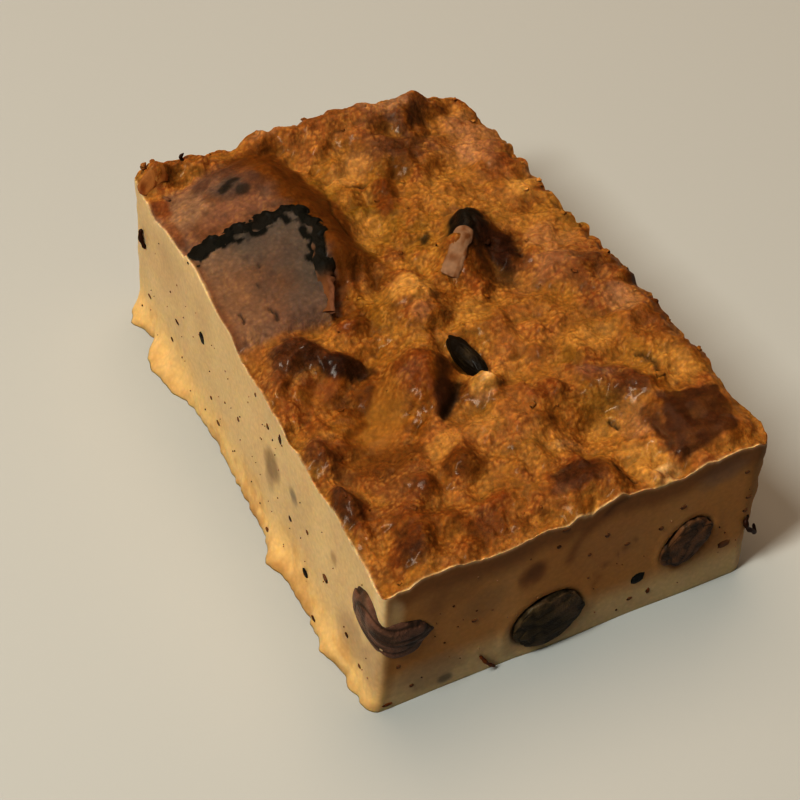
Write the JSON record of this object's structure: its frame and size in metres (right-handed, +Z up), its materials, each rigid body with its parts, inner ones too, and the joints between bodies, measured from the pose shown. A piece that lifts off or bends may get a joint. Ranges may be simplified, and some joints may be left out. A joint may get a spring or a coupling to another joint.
{
  "type": "bread pudding slice",
  "caption": "Cut slab of baked bread pudding: smooth custard sides, a browned craggy top with torn bread crusts standing out of it, and raisins set in the cut faces.",
  "frame": {"origin": "middle of the flat underside", "axes": "+X along the front cut face from its left corner, +Y back along the long left side, +Z up to the browned top"},
  "size_m": [0.0738, 0.1061, 0.0349],
  "materials": {
    "custard": "baked custard, moist and slightly glossy where cut, browned and craggy on top",
    "raisin": "wrinkled dark raisin skin with a moist sheen"
  },
  "bodies": {
    "root": {"pudding": "custard", "raisin_front": "raisin", "raisin_right": "raisin", "raisin_corner": "raisin", "raisin_top": "raisin"}
  },
  "joints": []
}
